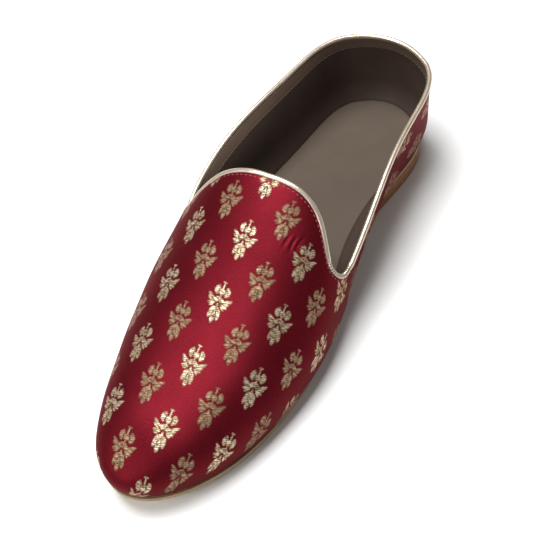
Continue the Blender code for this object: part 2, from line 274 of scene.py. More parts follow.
def table(columns, rows):
    """A table's columns by name, each an array."""
    return dict(zip(columns, np.array(rows, float).T))


def spline(x, xs, ys):
    """Natural cubic spline through the points (xs, ys), read at x, held level past both ends."""
    step = np.diff(xs)
    slope = np.diff(ys) / step
    system = np.eye(len(xs))
    right = np.zeros(len(xs))
    for i in range(1, len(xs) - 1):
        system[i, i - 1 : i + 2] = step[i - 1], 2 * (step[i - 1] + step[i]), step[i]
        right[i] = 6 * (slope[i] - slope[i - 1])
    bend = np.linalg.solve(system, right)
    x = np.clip(x, xs[0], xs[-1])
    i = np.clip(np.searchsorted(xs, x) - 1, 0, len(xs) - 2)
    t = x - xs[i]
    first = slope[i] - step[i] * (2 * bend[i] + bend[i + 1]) / 6
    return ys[i] + t * first + t**2 * bend[i] / 2 + t**3 * (bend[i + 1] - bend[i]) / (6 * step[i])


SECTION = table(SECTION_COLUMNS, SECTION_ROWS)
TOPLINE = table(TOPLINE_COLUMNS, TOPLINE_ROWS)


def section(column, along):
    """A column of the section table, read at places along the shoe."""
    return spline(along, SECTION["along"], SECTION[column])


def either_side(lateral, outer, inner):
    """One value on the lateral side, and another on the medial side."""
    return np.where(lateral, outer, inner)


def fold(station):
    """Stations 0 to 360 as angles from the heel, 0 to 180, and which of them are lateral."""
    return 180 - np.abs(station - 180), station <= 180


def smooth_step(x, low, high):
    """0 below `low`, 1 above `high`, and the cubic 3t^2 - 2t^3 between them."""
    t = np.clip((x - low) / (high - low), 0, 1)
    return t * t * (3 - 2 * t)


def underside(along):
    """Height of the outsole's underside: heel seat, an S down the waist, the flat tread, toe spring."""
    waist = np.clip((along - HEEL_LENGTH) / (TREAD_START - HEEL_LENGTH), 0, 1)
    heel = np.clip((HEEL_LENGTH - along) / HEEL_LENGTH, 0, 1)
    toe = np.clip((along - TREAD_END) / (LENGTH - TREAD_END), 0, 1)
    arch = HEEL_RISE * (1 + np.cos(np.pi * waist)) / 2
    return arch + HEEL_BACK_RISE * heel**2 + TOE_SPRING * toe**2


def heel_top(along):
    """Height of the heel lift's top, close under the outsole."""
    return underside(along) - GAP / 2


def sole_top(along):
    """Height of the outsole's top."""
    return underside(along) + SOLE


def seat(along):
    """Height on which the upper and the insole rest, one gap above the outsole."""
    return sole_top(along) + GAP


def insole_top(along):
    """Height of the insole's top."""
    return seat(along) + INSOLE


def even_stations():
    """Stations of the flat pieces, evenly round the shoe."""
    return np.arange(SOLE_COLUMNS) * 360 / SOLE_COLUMNS


def sole_along(angle):
    """Place along the shoe of the sole's edge: a half circle's turn over the sole's length."""
    return LENGTH / 2 * (1 - np.cos(np.radians(angle)))


def sole_half(angle):
    """Half width of the sole: the section table carried on an ellipse, so both ends come out round."""
    along = SECTION["along"]
    ellipse = np.sqrt(along * (LENGTH - along)) / (LENGTH / 2)
    return np.sin(np.radians(angle)) * spline(sole_along(angle), along, SECTION["half"] / ellipse)


def sole_outline(station):
    """The sole's edge: an array of (across, along)."""
    angle, lateral = fold(station)
    along = sole_along(angle)
    across = section("swing", along) + sole_half(angle) * either_side(lateral, 1, -1)
    return np.stack([across, along], -1)


def widest_along(angle):
    """Place along the shoe of the upper's widest point: a half circle's turn over the upper's length."""
    return -BACK_OVERHANG + UPPER_LENGTH * (1 - np.cos(np.radians(angle))) / 2


def widest_angle(along):
    """The station angle whose widest point lies this far along."""
    return np.degrees(np.arccos(np.clip(1 - 2 * (along + BACK_OVERHANG) / UPPER_LENGTH, -1, 1)))


def widest_line(angle):
    """Centre and half width at the widest line: the sole's and the overhang, which fades at both ends."""
    along = widest_along(angle)
    fade = np.sqrt(1 - np.cos(np.radians(angle)) ** 8)
    outer = section("lateral_over", along) * fade
    inner = section("medial_over", along) * fade
    return section("swing", along) + (outer - inner) / 2, sole_half(angle) + (outer + inner) / 2


def widest_outline(angle, lateral):
    """The widest line on one side: an array of (across, along)."""
    centre, half = widest_line(angle)
    return np.stack([centre + half * either_side(lateral, 1, -1), widest_along(angle)], -1)


def widest_height(along):
    """Height of the widest line."""
    return seat(along) + section("widest", along)


def toe_close(along):
    """How much of the ridge's height is left where it falls to the toe tip: a superellipse from 1 to 0."""
    past = np.clip((along - LENGTH - TOE_OVERHANG + TOE_BOX) / TOE_BOX, 0, 1)
    return (1 - past**TOE_ROUND) ** (1 / TOE_ROUND)


def last_height(along, share):
    """Height of the last where `share` of the half width is covered: a superellipse up to the ridge."""
    along = np.clip(along, 0, LENGTH + TOE_OVERHANG)
    low = widest_height(along)
    power = section("fullness", along)
    rise = np.clip(1 - np.clip(share, 0, 1) ** power, 0, 1) ** (1 / power)
    return low + (section("ridge", along) - low) * toe_close(along) * rise


def topline(station):
    """Topline point in plan, share of the half width, turn, splay and section exponent at a station."""
    angle, lateral = fold(station)
    read = {name: spline(angle, TOPLINE["station"], TOPLINE[name]) for name in TOPLINE_COLUMNS[1:]}
    over = either_side(lateral, read["lateral_over"], read["medial_over"])
    turn = either_side(lateral, read["lateral_turn"], read["medial_turn"])
    splay = either_side(lateral, read["lateral_splay"], -read["medial_splay"])
    foot = widest_outline(over, lateral)
    spine = np.maximum(foot[:, 1], SEAT_CENTRE)
    centre = np.stack([widest_line(widest_angle(spine))[0], spine], -1)
    power = section("fullness", foot[:, 1])
    share = np.cos(np.radians(turn)) ** (2 / power)
    return centre + (foot - centre) * share[:, None], share, turn, splay, power


def unit(vectors):
    """The vectors at length 1."""
    return vectors / np.maximum(np.linalg.norm(vectors, axis=-1, keepdims=True), 1e-12)


def chord(ring, axis=0):
    """For each point of a closed ring, the way from the point before it to the point after it."""
    return np.roll(ring, -1, axis) - np.roll(ring, 1, axis)


def running_sum(steps):
    """Sum of the steps before each point, along the first axis."""
    return np.concatenate([np.zeros_like(steps[:1]), np.cumsum(steps, 0)])


def climb(points):
    """Length up each column of points from its first row."""
    return running_sum(np.linalg.norm(np.diff(points, axis=0), axis=-1))


def inset(ring, depth):
    """A closed plan ring moved inwards by `depth`, along its own normals."""
    tangent = unit(chord(ring))
    return ring + depth * np.stack([-tangent[:, 1], tangent[:, 0]], -1)


def stations(count):
    """Stations round the shoe, closest together at both notches: equal shares of a weight's sum."""
    fine = np.linspace(0, 180, STATION_STEPS)
    weight = 1 + NOTCH_CROWDING * np.exp(-(((fine - NOTCH_STATION) / NOTCH_SPREAD) ** 2))
    summed = running_sum((weight[1:] + weight[:-1]) / 2)
    half = np.interp(np.linspace(0, summed[-1], count // 2 + 1), summed, fine)
    return np.concatenate([half, 360 - half[-2:0:-1]])


def upper_surface(station, side_rows, top_rows, splayed=1.0):
    """Outer face of the upper from the feather edge to the topline: rows, stations, and three sizes.

    Below the widest line the wall tucks in to the feather edge along a parabola. Above it each column
    runs straight in plan to its topline point and takes the last's height there, in turns that grow
    smaller towards the topline.
    """
    angle, lateral = fold(station)
    feather = inset(sole_outline(station), FEATHER)
    widest = widest_outline(angle, lateral)
    low, high = seat(feather[:, 1]), widest_height(widest[:, 1])
    step = np.linspace(0, 1, side_rows + 1)[:-1, None]
    plan = feather + (widest - feather) * (1 - (1 - step[..., None]) ** 2)
    side = np.concatenate([plan, (low + (high - low) * step)[..., None]], -1)
    top, share, turn, splay, power = topline(station)
    step = np.linspace(0, 1, top_rows + 1)[:, None]
    step = step * (1 + ROW_CROWDING - ROW_CROWDING * step)
    reached = 1 - np.cos(np.radians(turn * step)) ** (2 / power)
    part = reached / (1 - share)
    plan = widest + (top - widest) * part[..., None]
    centre, half = widest_line(widest_angle(plan[..., 1]))
    covered = np.abs(plan[..., 0] - centre) / np.maximum(half, 1e-6)
    covered = np.where(widest[:, 1] < SEAT_CENTRE, 1 - reached, covered)
    height = last_height(plan[..., 1], covered)
    plan[..., 0] += splayed * splay * part
    return np.concatenate([side, np.concatenate([plan, height[..., None]], -1)])


def surface_normals(points):
    """Unit normals of a grid whose columns close: column direction crossed with row direction."""
    return unit(np.cross(chord(points, 1), np.gradient(points, axis=0)))


def section_arc(along, turn):
    """Length over the last's section at `along`, from the widest line up to this turn (0 to pi/2)."""
    along = np.clip(along, 0, LENGTH + TOE_OVERHANG)
    power = section("fullness", along)
    half = widest_line(widest_angle(along))[1]
    rise = (section("ridge", along) - widest_height(along)) * toe_close(along)
    angle = turn * np.linspace(0, 1, ARC_STEPS).reshape((-1,) + (1,) * np.ndim(along))
    out = half * np.cos(angle) ** (2 / power)
    up = rise * np.sin(angle) ** (2 / power)
    return np.hypot(np.diff(out, axis=0), np.diff(up, axis=0)).sum(0)


def ridge_arc(along):
    """Length along the ridge of the last from the heel, read at `along`."""
    fine = np.linspace(0, LENGTH + TOE_OVERHANG, FINE_STEPS)
    steps = np.hypot(np.diff(fine), np.diff(last_height(fine, 0)))
    return np.interp(along, fine, running_sum(steps))


def outline_arc(angle, lateral):
    """Length along the widest line from the back of the heel to a station angle."""
    fine = np.linspace(0, 180, FINE_STEPS)
    outlines = (widest_outline(fine, np.full(len(fine), side)) for side in (True, False))
    return either_side(lateral, *(np.interp(angle, fine, climb(outline)) for outline in outlines))


def cloth_place(points, station, side_rows):
    """Where each point of the upper lies on the flat cloth: millimetres across and along.

    Along is the length over the ridge, and round the heel the length along the widest line. Across is
    the length over the section from the ridge; on the quarters the ridge's distance is held, and the
    length up the column is taken off it.
    """
    angle, lateral = fold(station)
    along = np.clip(points[..., 1], 0, LENGTH + TOE_OVERHANG)
    centre, half = widest_line(widest_angle(along))
    side = np.where(along > HELD_ALONG, np.sign(points[..., 0] - centre), either_side(lateral, 1, -1))
    share = np.clip(np.abs(points[..., 0] - centre) / np.maximum(half, 1e-6), 0, 1)
    turn = np.arccos(share ** (section("fullness", along) / 2))
    climbed = climb(points)
    climbed = climbed - climbed[side_rows]
    over = section_arc(along, turn)
    vamp = smooth_step(along, *VAMP_BLEND)
    up = vamp * over + (1 - vamp) * climbed
    tangent = unit(chord(widest_outline(angle, lateral)))
    forward = np.clip(-tangent[:, 0], 0, 1) * smooth_step(angle, *TOE_BLEND)
    below = np.arange(len(points))[:, None] < side_rows
    up = np.where(below, climbed * np.sqrt(1 - forward**2), up)
    held = HELD_ALONG + HELD_BLEND * np.logaddexp(0, (along - HELD_ALONG) / HELD_BLEND)
    across = side * (section_arc(held, np.full(held.shape, np.pi / 2)) - up)
    front = smooth_step(widest_along(angle), *HEEL_BLEND)
    round_heel = outline_arc(angle, lateral) - outline_arc(widest_angle(HEEL_JOIN), lateral)
    run = front * ridge_arc(along) + (1 - front) * (ridge_arc(HEEL_JOIN) + round_heel)
    return across, run - np.where(below, climbed * forward, 0)


def drawn_cloth(across, along):
    """The cloth's own coordinates, medial positive, once it has been pulled on the last.

    At the toe it is pulled to the lateral side, more and more towards the tip, and on the medial side
    it is pulled towards the heel.
    """
    pulled = TOE_PULL * np.maximum(along - TOE_PULL_START, 0) ** 2
    back = MEDIAL_PULL * (np.clip(-across, *MEDIAL_PULL_REACH) - MEDIAL_PULL_REACH[0])
    return np.stack([-across - pulled, along + back], -1)


# The part frame's origin in maker's coordinates: across from the outsole's lateral side, and along from
# the upper's back.
MIDLINE = sole_outline(np.linspace(0, 180, 721))[:, 0].max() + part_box("outsole")[0].x / MM
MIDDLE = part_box("upper")[1].y / MM - BACK_OVERHANG


def placed(points):
    """Maker's coordinates in millimetres to the part's frame in metres: toe to -Y, medial to +X."""
    across, along, up = np.moveaxis(points, -1, 0)
    return np.stack([MIDLINE - across, MIDDLE - along, up], -1) * MM


def quad_corners(values, wrap_rows, wrap_columns):
    """A grid's values at the four corners of each of its quads."""
    low = values if wrap_rows else values[:-1]
    high = np.roll(values, -1, 0) if wrap_rows else values[1:]
    if wrap_columns:
        return np.stack([low, np.roll(low, -1, 1), np.roll(high, -1, 1), high], 2)
    return np.stack([low[:, :-1], low[:, 1:], high[:, 1:], high[:, :-1]], 2)


def grid_mesh(name, points, finishes, wrap_rows=False, wrap_columns=True, uv=None, finish_of_row=None):
    """A mesh of quads over a grid of points, or over several grids: ([grids,] rows, columns, xyz).

    `uv` has one more column than the points where the columns close. Points that fall together, as at
    a pole, are made one.
    """
    grids = points.reshape((-1,) + points.shape[-3:])
    count, rows, columns = grids.shape[:3]
    number = np.arange(rows * columns).reshape(rows, columns)
    quads = quad_corners(number, wrap_rows, wrap_columns).reshape(1, -1, 4)
    quads = (quads + np.arange(count)[:, None, None] * rows * columns).reshape(-1, 4)
    mesh = bpy.data.meshes.new(name)
    mesh.vertices.add(grids.size // 3)
    mesh.vertices.foreach_set("co", placed(grids).astype(np.float32).ravel())
    mesh.loops.add(quads.size)
    mesh.loops.foreach_set("vertex_index", quads.ravel().astype(np.int32))
    mesh.polygons.add(len(quads))
    mesh.polygons.foreach_set("loop_start", np.arange(0, quads.size, 4, dtype=np.int32))
    if uv is not None:
        layer = mesh.uv_layers.new(name="cloth")
        corner_uv = quad_corners(uv, wrap_rows, wrap_columns=False)
        layer.data.foreach_set("uv", corner_uv.astype(np.float32).ravel())
    for finish in finishes:
        mesh.materials.append(finish)
    if finish_of_row is not None:
        across = columns if wrap_columns else columns - 1
        mesh.polygons.foreach_set("material_index", np.repeat(finish_of_row, across).astype(np.int32))
    mesh.update(calc_edges=True)
    weld(mesh)
    mesh.shade_smooth()
    made = bpy.data.objects.new(name, mesh)
    bpy.context.scene.collection.objects.link(made)
    return made


def weld(mesh):
    """Makes one of points that fall together, which closes poles and end caps."""
    work = bmesh.new()
    work.from_mesh(mesh)
    bmesh.ops.remove_doubles(work, verts=work.verts, dist=WELD)
    work.to_mesh(mesh)
    work.free()


def lip(start, end, out):
    """Rows of a half-round lip that goes from one edge to another, bulging along `out`."""
    middle, half = (start + end) / 2, (start - end) / 2
    radius = np.linalg.norm(half, axis=-1, keepdims=True)
    angle = np.linspace(0, np.pi, LIP_ROWS + 2)[1:-1, None, None]
    return middle + half * np.cos(angle) + out * radius * np.sin(angle)


def shell(outer, inner):
    """The closed loop of rows round a wall: up its outer face, a lip, down its inner face, a lip."""
    top = lip(outer[-1], inner[-1], unit(outer[-1] - outer[-2]))
    foot = lip(inner[0], outer[0], unit(outer[0] - outer[1]))
    return np.concatenate([outer, top, inner[::-1], foot])


def shell_uv(outer, inner):
    """The same loop of rows for the UVs of a wall's two faces."""
    top, foot = np.repeat(outer[-1:], LIP_ROWS, 0), np.repeat(inner[:1], LIP_ROWS, 0)
    return np.concatenate([outer, top, inner[::-1], foot])


def closed(points, station):
    """A grid with its first column once more at the end, at station 360."""
    return np.concatenate([points, points[:, :1]], 1), np.append(station, 360.0)


def below_rim(points):
    """Length down each column from the topline."""
    climbed = climb(points)
    return climbed[-1] - climbed


def rim_uv(points, station):
    """UVs of a closed grid: the station, and the length below the topline."""
    down, at = closed(below_rim(points), station)
    return np.stack([np.broadcast_to(at, down.shape), down], -1)


def at_depth(points, values, depth):
    """Values read along each column at this length below the topline."""
    down = below_rim(points)
    row = np.clip((down > depth).sum(0), 1, len(points) - 1)
    column = np.arange(points.shape[1])
    above, under = down[row, column], down[row - 1, column]
    share = ((under - depth) / (under - above))[:, None]
    return values[row - 1, column] * (1 - share) + values[row, column] * share


def crease_relief(across, along):
    """Height of the listed creases: each a bell across its width that fades at both ends."""
    total = np.zeros_like(across)
    for row in CREASE_ROWS:
        crease = dict(zip(CREASE_COLUMNS, row))
        turn = np.radians(crease["turn"])
        right, on = across - crease["across"], along - crease["along"]
        length = (right * np.cos(turn) + on * np.sin(turn)) / crease["half_length"]
        beside = on * np.cos(turn) - right * np.sin(turn) - crease["bow"] * length**2
        width = beside / crease["half_width"]
        total += crease["height"] * np.exp(-(width**2) - length**4)
    return total


def cloth_relief(points, across, along, station, sizes):
    """How far the cloth stands out from the last, in millimetres.

    Slow waves over the whole cloth, gathers just above the feather edge round the toe and the heel,
    creases, a seam groove down the back, and the dip that the topline stitching pulls in.
    """
    x, y, z = np.moveaxis(points, -1, 0)
    # Waves whose lengths have no common measure, so that they don't seem to repeat.
    waves = np.sin(x / 8.5 + np.sin(y / 13.0)) * np.sin(y / 10.4 + z / 12.0 + 1.0)
    waves += 0.6 * np.sin(x / 5.1 - y / 7.3 + z / 9.0 + 2.0)
    run = outline_arc(*fold(station))
    gathers = np.sin(run / 1.15 + 1.3 * np.sin(run / 9.0)) * np.exp(-((climb(points) / GATHER_REACH) ** 2))
    seam = np.abs(x) / SEAM_HALF_WIDTH
    groove = np.exp(-(seam**2)) - 0.35 * np.exp(-((seam - 3.0) ** 2))
    dip = np.exp(-(((below_rim(points) - STITCH_DEPTH) / DIP_HALF_WIDTH) ** 2))
    return (
        sizes.waviness / MM * waves
        + sizes.gather / MM * gathers * smooth_step(np.abs(y - LENGTH / 2), *GATHER_PLACE)
        + crease_relief(across, along)
        - SEAM_DEPTH * np.where(y < SEAT_CENTRE, groove, 0)
        - DIP_DEPTH * dip
    )


def piping_path(rows):
    """Centre of the piping, one gap clear of the topline's rim, and its two cross directions."""
    rim = rows[-1]
    run = unit(chord(rim))
    inwards = unit(np.cross(rim - rows[-2], run))
    rise = np.cross(run, inwards)
    return rim + rise * (GAP + PIPING / 2) + inwards * WALL / 2, inwards, rise


def piping_surface(centre, inwards, rise):
    """Points and UVs of the piping: a circle carried along its centre line.

    The bend is averaged over the columns nearby. Where it is tight, the radius dips between pleats like
    the sine's absolute value, and elsewhere it has faint wrinkles. Both are deepest on the side away
    from the foot. The UVs hold the length along the piping and how smooth it is.
    """
    length = ring_length(centre)
    run = length[:-1]
    turned = np.linalg.norm(chord(unit(chord(centre))), axis=-1)
    bend = turned / np.linalg.norm(chord(centre), axis=-1)
    nearby = np.convolve(np.tile(bend, 3), np.ones(PLEAT_SPREAD) / PLEAT_SPREAD, "same")
    tight = smooth_step(nearby[len(bend) : 2 * len(bend)], *PLEAT_BEND)
    pleat = -PLEAT_DEPTH * tight * (1 - np.abs(np.sin(np.pi * run / PLEAT_PITCH)))
    wrinkle = WRINKLE * np.sin(run / 2.3 + 2 * np.sin(run / 7.1)) * (1 - tight)
    angle = np.linspace(0, 2 * np.pi, PIPING_ROWS, endpoint=False)[:, None, None]
    radius = PIPING / 2 + (pleat + wrinkle)[None, :, None] * (0.7 + 0.3 * np.cos(angle))
    points = centre + radius * (rise * np.sin(angle) - inwards * np.cos(angle))
    smoothness = np.append(1 + pleat / PLEAT_DEPTH, 1)
    return points, np.repeat(np.stack([length, smoothness], -1)[None], PIPING_ROWS, 0)


def ring_length(ring):
    """Length round a closed ring of points, at each point and back at the first."""
    return climb(np.concatenate([ring, ring[:1]]))


def read_ring(ring, at, *values):
    """Values of a closed ring of points, read at lengths along it."""
    length = ring_length(ring)
    around = [np.concatenate([value, value[:1]]) for value in values]
    return [np.stack([np.interp(at, length, axis) for axis in value.T], -1) for value in around]


def stitches(name, ring, normal, pitch, long, thick, finish):
    """A row of stitches along a closed ring: each an ellipsoid bent along it, sunk at both ends."""
    total = ring_length(ring)[-1]
    count = int(total / pitch)
    centre = (np.arange(count) + 0.5) * total / count
    t = np.linspace(-1, 1, STITCH_POINTS)
    at = centre[:, None] + t * long / 2
    spine, up = read_ring(ring, np.mod(at, total).ravel(), ring, normal)
    spine, up = spine.reshape(count, -1, 3), unit(up.reshape(count, -1, 3))
    ahead = unit(np.gradient(spine, axis=1))
    side = np.cross(ahead, up)
    angle = np.linspace(0, 2 * np.pi, STITCH_SIDES, endpoint=False)[None, :, None, None]
    girth = np.sqrt(np.maximum(1 - t**2, 0))[None, None, :, None]
    lift = (STITCH_LIFT * thick * (1 - t**2) - STITCH_SINK)[None, None, :, None]
    points = (
        spine[:, None]
        + side[:, None] * np.cos(angle) * girth * thick / 2
        + up[:, None] * (np.sin(angle) * girth * thick / 2 + lift)
    )
    return grid_mesh(name, points, [finish], wrap_rows=True, wrap_columns=False)


def slab_rows(ring, spine_ends, low, high, rounding):
    """A flat piece with rounded edges: rows from the middle of its underside to the middle of its top.

    Inside the edge the rings shrink straight towards the spine, the shoe's centre line between two
    places. Round the edge they follow a quarter circle inwards along the ring's normal, and rise or
    fall with it. Heights change only along the shoe.
    """
    along = np.clip(ring[:, 1], *spine_ends)
    spine = np.stack([section("swing", along), along], -1)
    share = np.linspace(0, 1, SLAB_ROWS)[:-1, None, None]
    quarter = np.linspace(0, np.pi / 2, EDGE_ROWS)
    low_round, high_round = rounding
    plan = np.concatenate([
        spine + (inset(ring, low_round) - spine) * share,
        [inset(ring, low_round * (1 - np.sin(turn))) for turn in quarter],
        [inset(ring, high_round * (1 - np.cos(turn))) for turn in quarter],
        spine + (inset(ring, high_round) - spine) * share[::-1],
    ])
    level = np.zeros(SLAB_ROWS - 1)
    up, down = low_round * (1 - np.cos(quarter)), -high_round * (1 - np.sin(quarter))
    rise = np.concatenate([level, up, down, level])[:, None]
    on_top = np.arange(len(plan))[:, None] >= len(plan) // 2
    height = np.where(on_top, high(plan[..., 1]), low(plan[..., 1])) + rise
    return np.concatenate([plan, height[..., None]], -1)


def heel_ring():
    """The heel lift's outline: the sole's, as far as the breast, which runs straight across."""
    breast = np.degrees(np.arccos(1 - 2 * HEEL_LENGTH / LENGTH))
    around = np.linspace(0, breast, SOLE_COLUMNS // 4)
    lateral, medial = sole_outline(around), sole_outline(360 - around[:0:-1])
    share = np.linspace(0, 1, SOLE_COLUMNS // 8)[1:-1, None]
    return np.concatenate([lateral, lateral[-1] + (medial[0] - lateral[-1]) * share, medial])


def edge_after(rows, steps):
    """For each row of a flat piece's quads: 0 on the underside and the first steps of its edge, then 1."""
    return (np.arange(len(rows) - 1) >= SLAB_ROWS - 1 + steps).astype(int)


class Field:
    """A value at each point of a surface. Arithmetic on fields adds the Math nodes that work it out."""

    def __init__(self, socket):
        self.socket = socket

    def math(self, operation, *others, clamp=False):
        """The field and up to two other values through one Math node."""
        node = self.socket.id_data.nodes.new("ShaderNodeMath")
        node.operation = operation
        node.use_clamp = clamp
        for slot, value in zip(node.inputs, (self, *others)):
            feed(slot, value)
        return Field(node.outputs[0])

    def __add__(self, other):
        return self.math("ADD", other)

    def __sub__(self, other):
        return self.math("SUBTRACT", other)

    def __mul__(self, other):
        return self.math("MULTIPLY", other)

    def __truediv__(self, other):
        return self.math("DIVIDE", other)

    def flipped(self):
        """One minus the field."""
        return self.math("MULTIPLY_ADD", -1.0, 1.0)

    def above(self, edge, softness):
        """0 below an edge and 1 above it, over this much of the field."""
        return self.math("MULTIPLY_ADD", 1 / softness, 0.5 - edge / softness, clamp=True)

    def ridges(self, pitch):
        """Even waves between 0 and 1, one for each pitch."""
        return (self * (2 * np.pi / pitch)).math("SINE").math("MULTIPLY_ADD", 0.5, 0.5)

    def blend(self, low, high):
        """A colour between two: `low` where the field is 0 and `high` where it is 1."""
        node = self.socket.id_data.nodes.new("ShaderNodeMix")
        node.data_type = "RGBA"  # whose A, B and result come seventh, eighth and third
        feed(node.inputs["Factor"], self)
        feed(node.inputs[6], low)
        feed(node.inputs[7], high)
        return Field(node.outputs[2])


def feed(slot, value):
    """Sets a socket to a number or a colour, or links a field to it."""
    if isinstance(value, Field):
        slot.id_data.links.new(value.socket, slot)
    elif hasattr(value, "__len__") and len(value) == 3 and slot.type == "RGBA":
        slot.default_value = (*value, 1.0)
    else:
        slot.default_value = value


def new_material(name):
    """A material with nothing in it but a shader and its output."""
    made = bpy.data.materials.get(name) or bpy.data.materials.new(name)
    made.use_nodes = True
    tree = made.node_tree
    tree.nodes.clear()
    shader = tree.nodes.new("ShaderNodeBsdfPrincipled")
    output = tree.nodes.new("ShaderNodeOutputMaterial")
    tree.links.new(shader.outputs[0], output.inputs["Surface"])
    return made, shader


def finish_shader(shader, height=None, **sockets):
    """Feeds the shader's sockets, and a Bump whose height is in millimetres."""
    for name, value in sockets.items():
        feed(shader.inputs[name.replace("_", " ")], value)
    if height is not None:
        bump = shader.id_data.nodes.new("ShaderNodeBump")
        bump.inputs["Distance"].default_value = MM
        feed(bump.inputs["Height"], height)
        shader.id_data.links.new(bump.outputs[0], shader.inputs["Normal"])


def coordinates(shader, output):
    """Texture coordinates in a shader's material: a vector field."""
    return Field(shader.id_data.nodes.new("ShaderNodeTexCoord").outputs[output])


def in_millimetres(shader):
    """The place in the part's frame, in millimetres."""
    return mapped(coordinates(shader, "Object"), (1 / MM, 1 / MM, 1 / MM))


def node_on(vector, kind, **inputs):
    """A new node that reads a vector field, with these values on its other sockets."""
    node = vector.socket.id_data.nodes.new(kind)
    feed(node.inputs["Vector"], vector)
    for name, value in inputs.items():
        node.inputs[name].default_value = value
    return node


def mapped(vector, scale=(1, 1, 1), move=(0, 0, 0), turn=0.0, kind="POINT"):
    """A vector field scaled, turned and moved, or with the kind TEXTURE the reverse."""
    node = node_on(vector, "ShaderNodeMapping", Location=move, Rotation=(0, 0, turn), Scale=scale)
    node.vector_type = kind
    return Field(node.outputs[0])


def parts(vector):
    """A vector field's x, y and z."""
    return [Field(output) for output in node_on(vector, "ShaderNodeSeparateXYZ").outputs]


def joined(x, y):
    """The vector field (x, y, 0)."""
    node = x.socket.id_data.nodes.new("ShaderNodeCombineXYZ")
    feed(node.inputs["X"], x)
    feed(node.inputs["Y"], y)
    return Field(node.outputs[0])


def noise(vector, scale, detail=2.0, roughness=0.5, distortion=0.0):
    """Soft patches between 0 and 1, each about 1 / scale wide."""
    inputs = {"Scale": scale, "Detail": detail, "Roughness": roughness, "Distortion": distortion}
    return Field(node_on(vector, "ShaderNodeTexNoise", **inputs).outputs[0])


def cells(vector, scale, feature="F1"):
    """Distance to the nearest of scattered points, or to the border between them."""
    node = node_on(vector, "ShaderNodeTexVoronoi", Scale=scale)
    node.feature = feature
    return Field(node.outputs["Distance"])


def leaf(point, row):
    """How deep a point lies inside one leaf, in millimetres: an ellipse from its root to its tip."""
    x0, y0, x1, y1, half_width = row
    half_length = np.hypot(x1 - x0, y1 - y0) / 2
    turn = np.arctan2(y1 - y0, x1 - x0)
    place = ((x0 + x1) / 2, (y0 + y1) / 2, 0)
    round_leaf = mapped(point, (half_length, half_width, 1), place, turn, "TEXTURE")
    node = node_on(round_leaf, "ShaderNodeVectorMath")
    node.operation = "LENGTH"
    reach = min(half_width, half_length)
    return Field(node.outputs["Value"]).math("MULTIPLY_ADD", -reach, reach)


def sprig_point(cloth, weave):
    """A point's place in its own sprig, and 1 in every other column, which lies half a repeat on."""
    right, along, _ = parts(cloth)
    gap, repeat = weave.column_gap / MM, weave.repeat / MM
    column = (right / gap).math("ROUND")
    other = column.math("PINGPONG", 1.0)
    local_along = (along - other * (repeat / 2) + repeat / 2).math("FLOORED_MODULO", repeat) - repeat / 2
    return right - column * gap, local_along, other


def deepest(point, rows):
    """How deep a point lies inside the deepest of several thread floats."""
    depth = leaf(point, rows[0])
    for row in rows[1:]:
        depth = depth.math("MAXIMUM", leaf(point, row))
    return depth


def satin(cloth, weave):
    """Colour and height of the ground: a fine diagonal rib, a finer one across it, and broken grain."""
    right, along, _ = parts(cloth)
    grain = noise(cloth, 1.2, 3.0, 0.75)
    rib = (right * RIB_ACROSS + along * RIB_ALONG + grain * 0.35).ridges(weave.rib / MM)
    cross = (right * RIB_ALONG - along * RIB_ACROSS).ridges(CROSS_RIB)
    # painted shade in the rib valleys, together with random tone from the grain
    lit = rib * 0.42 + cross * 0.08 + grain.above(0.5, 0.14) * 0.50
    worn = noise(cloth, 0.055, 3.0, 0.5).above(0.5, 0.6) * 0.35
    colour = worn.blend(lit.blend(weave.ground_shade, weave.ground), weave.ground_worn)
    return colour, rib * 0.06 + cross * 0.006 + grain * 0.025


def sprig_thread(cloth, right, along, other, depth, outline, weave):
    """Colour, height and metallic share of the sprigs: loose strands of foil crossed by even threads.

    Where strand and thread both stand up they take a painted highlight, and lower between the floats a
    painted shade; painted shade also darkens them towards the sprig's edge and in its sunken outlines.
    Every other column is given a duller, redder copy of the thread as painted shade.
    """
    strands = noise(mapped(cloth, (0.50, 1.25, 1.0), turn=-0.35), 0.75, 3.0, 0.7).above(0.5, 0.20)
    threads = (along + right * FLOAT_SLANT).ridges(FLOAT_PITCH)
    # painted shade: the floats' colour darkens where they lie low between the raised ones
    raised = strands * 0.62 + threads * 0.38
    # painted highlight: the glint colour where strand and thread both stand up
    glint = strands * threads * (noise(cloth, 0.075, 2.0, 0.5).above(0.5, 0.30) * 0.7 + 0.3)
    bright = glint.blend(raised.blend(weave.thread_shade, weave.thread), weave.thread_light)
    # painted shade: every other column takes a duller, redder copy of the thread
    thread = other.blend(bright, raised.blend(weave.shaded_column_between_floats, weave.shaded_column_thread))
    # painted shade towards each sprig's edge and in its sunken outlines
    lit = outline.flipped() * (depth.above(0.30, 0.45) * 0.75 + 0.25)
    colour = (lit * 0.9 + 0.1).blend(weave.sprig_painted_shade, thread)
    height = depth * 0.38 + outline * -0.30 + threads * 0.08 + strands * 0.15
    return colour, height, lit * other.math("MULTIPLY_ADD", -0.35, 0.95)


